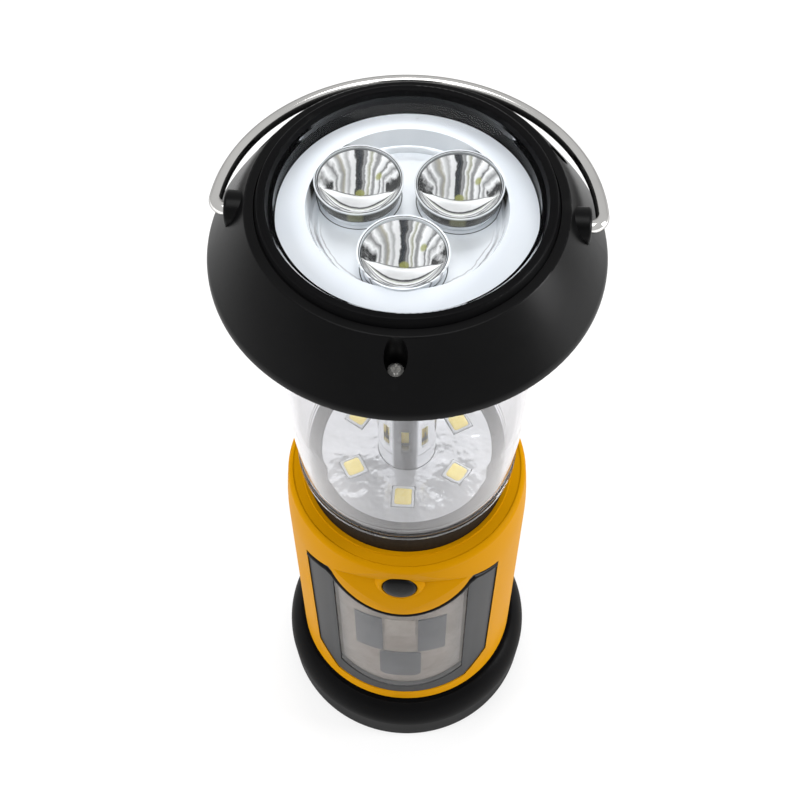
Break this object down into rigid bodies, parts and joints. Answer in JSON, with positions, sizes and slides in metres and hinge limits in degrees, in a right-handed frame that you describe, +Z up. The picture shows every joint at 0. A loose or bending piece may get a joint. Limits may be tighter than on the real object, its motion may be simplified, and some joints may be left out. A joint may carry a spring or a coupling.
{
  "type": "emergency lantern radio",
  "caption": "Hand-cranked emergency lantern radio: black cap with a spot lamp and wire bail, clear lantern chamber, yellow body, round base, rear crank and aerial.",
  "frame": {"origin": "centre of the base plate's underside, on the lantern's axis", "axes": "+Z up along the lantern's axis; -Y towards the front window; X through the bail handle's ears"},
  "size_m": [0.0938, 0.0982, 0.2497],
  "materials": {
    "black_satin": "satin moulded black",
    "black_plastic": "matt moulded black",
    "screw_steel": "bright",
    "yellow_plastic": "satin amber yellow",
    "grey_plastic": "satin dark grey",
    "clear_plastic": "clear moulded",
    "taupe_plastic": "satin",
    "tile_grey": "matt",
    "light_grey": "satin",
    "board_green": "lacquered board",
    "cell_wrap": "printed sleeve",
    "contact_metal": "plated",
    "collar_rubber": "matt",
    "board_white": "lacquered white",
    "mirror_film": "vacuum-plated mirror",
    "led_yellow": "phosphor yellow",
    "chrome_plate": "bright plated",
    "wire_steel": "drawn bright",
    "bush_brass": "turned",
    "shaft_steel": "ground",
    "gear_white": "moulded",
    "plate_steel": "zinc-plated",
    "speaker_black": "pressed paper and steel",
    "cover_rubber": "soft matt",
    "antenna_chrome": "bright plated",
    "ferrite_dark": "sintered"
  },
  "bodies": {
    "lantern": {"base_ring": "black_satin", "base_plate": "black_plastic", "battery_door": "black_plastic", "base_screws": "screw_steel", "body_shell": "yellow_plastic", "front_bezel": "grey_plastic", "front_window": "clear_plastic", "display_panel": "taupe_plastic", "display_tiles": "tile_grey", "dial_plate": "light_grey", "main_board": "board_green", "battery_tray": "black_plastic", "battery_cells": "cell_wrap", "battery_contacts": "contact_metal", "lens_collar": "collar_rubber", "floor_board": "board_white", "floor_reflector": "mirror_film", "floor_leds": "led_yellow", "lantern_lens": "clear_plastic", "reflector_column": "chrome_plate", "column_board": "board_white", "column_leds": "led_yellow", "lamp_housing": "black_plastic", "top_cap": "black_satin", "cap_screws": "screw_steel", "cap_under_plate": "black_plastic", "bezel_ring": "black_satin", "spot_lens": "clear_plastic", "spot_reflector": "mirror_film", "spot_board": "board_white", "spot_leds": "led_yellow", "crank_bush": "bush_brass", "gear_plate": "plate_steel", "gear_screws": "screw_steel", "generator_can": "plate_steel", "speaker": "speaker_black", "radio_controls": "plate_steel", "band_switch": "plate_steel", "power_inlet": "plate_steel", "antenna_pin": "screw_steel", "radio_board": "board_green", "ferrite_antenna": "ferrite_dark"},
    "bail": {"bail_handle": "wire_steel"},
    "button": {"power_button": "black_satin"},
    "crank": {"crank_arm": "black_satin", "crank_shaft": "shaft_steel", "drive_gear": "gear_white", "knob_hinge_pin": "shaft_steel"},
    "idler": {"idler_gear": "gear_white"},
    "rotor": {"generator_rotor": "shaft_steel"},
    "post": {"knob_spindle": "black_plastic"},
    "grip": {"crank_knob": "black_satin"},
    "tuning": {"tuning_knob": "black_satin"},
    "volume": {"volume_knob": "black_satin"},
    "band": {"band_knob": "black_satin"},
    "cover": {"inlet_cover": "cover_rubber"},
    "antenna": {"antenna_swivel": "antenna_chrome", "antenna_base": "antenna_chrome"},
    "mast": {"antenna_middle": "antenna_chrome"},
    "mast_tip": {"antenna_tip": "antenna_chrome"}
  },
  "joints": [
    {"name": "bail_swing", "type": "hinge", "parent": "lantern", "child": "bail", "pos_m": [0, 0, 0.2418], "axis": [1, 0, 0], "range_deg": [0, 187]},
    {"name": "button_press", "type": "slide", "parent": "lantern", "child": "button", "axis": [0, 0.9925, -0.1219], "range_m": [0, 0.001], "stiffness_N_per_m": 900},
    {"name": "crank_spin", "type": "hinge", "parent": "lantern", "child": "crank", "pos_m": [0, 0.037, 0.062], "axis": [0, 1, 0], "continuous": true},
    {"name": "idler_spin", "type": "hinge", "parent": "lantern", "child": "idler", "pos_m": [0, 0.0206, 0.0828], "axis": [0, 1, 0], "continuous": true},
    {"name": "rotor_spin", "type": "hinge", "parent": "lantern", "child": "rotor", "pos_m": [-0.01703, 0.0126, 0.07393], "axis": [0, 1, 0], "continuous": true},
    {"name": "knob_fold", "type": "hinge", "parent": "crank", "child": "post", "pos_m": [0, 0.0461, 0.032], "axis": [-1, 0, 0], "range_deg": [0, 90]},
    {"name": "knob_spin", "type": "hinge", "parent": "post", "child": "grip", "pos_m": [0, 0.0461, 0.045], "axis": [0, 0, 1], "continuous": true},
    {"name": "tuning_turn", "type": "hinge", "parent": "lantern", "child": "tuning", "pos_m": [0.02624, 0.03019, 0.105], "axis": [0.6561, 0.7547, 0], "range_deg": [-150, 150]},
    {"name": "volume_turn", "type": "hinge", "parent": "lantern", "child": "volume", "pos_m": [-0.02624, 0.03019, 0.105], "axis": [-0.6561, 0.7547, 0], "range_deg": [-150, 150]},
    {"name": "band_slide", "type": "slide", "parent": "lantern", "child": "band", "axis": [0, 0, 1], "range_m": [0, 0.003]},
    {"name": "cover_open", "type": "hinge", "parent": "lantern", "child": "cover", "pos_m": [0.02721, 0.02537, 0.0352], "axis": [-0.682, 0.7314, 0], "range_deg": [0, 100]},
    {"name": "antenna_swivel", "type": "hinge", "parent": "lantern", "child": "antenna", "pos_m": [-0.0235, 0.0392, 0.1182], "axis": [0, -0.9659, 0.2588], "range_deg": [0, 120]},
    {"name": "mast_slide", "type": "slide", "parent": "antenna", "child": "mast", "axis": [1, 0, 0], "range_m": [0, 0.038]},
    {"name": "mast_tip_slide", "type": "slide", "parent": "mast", "child": "mast_tip", "axis": [1, 0, 0], "range_m": [0, 0.038]}
  ],
  "couplings": [
    {"joint": "idler_spin", "follows": "crank_spin", "ratio": -3.3333},
    {"joint": "rotor_spin", "follows": "crank_spin", "ratio": 10}
  ]
}
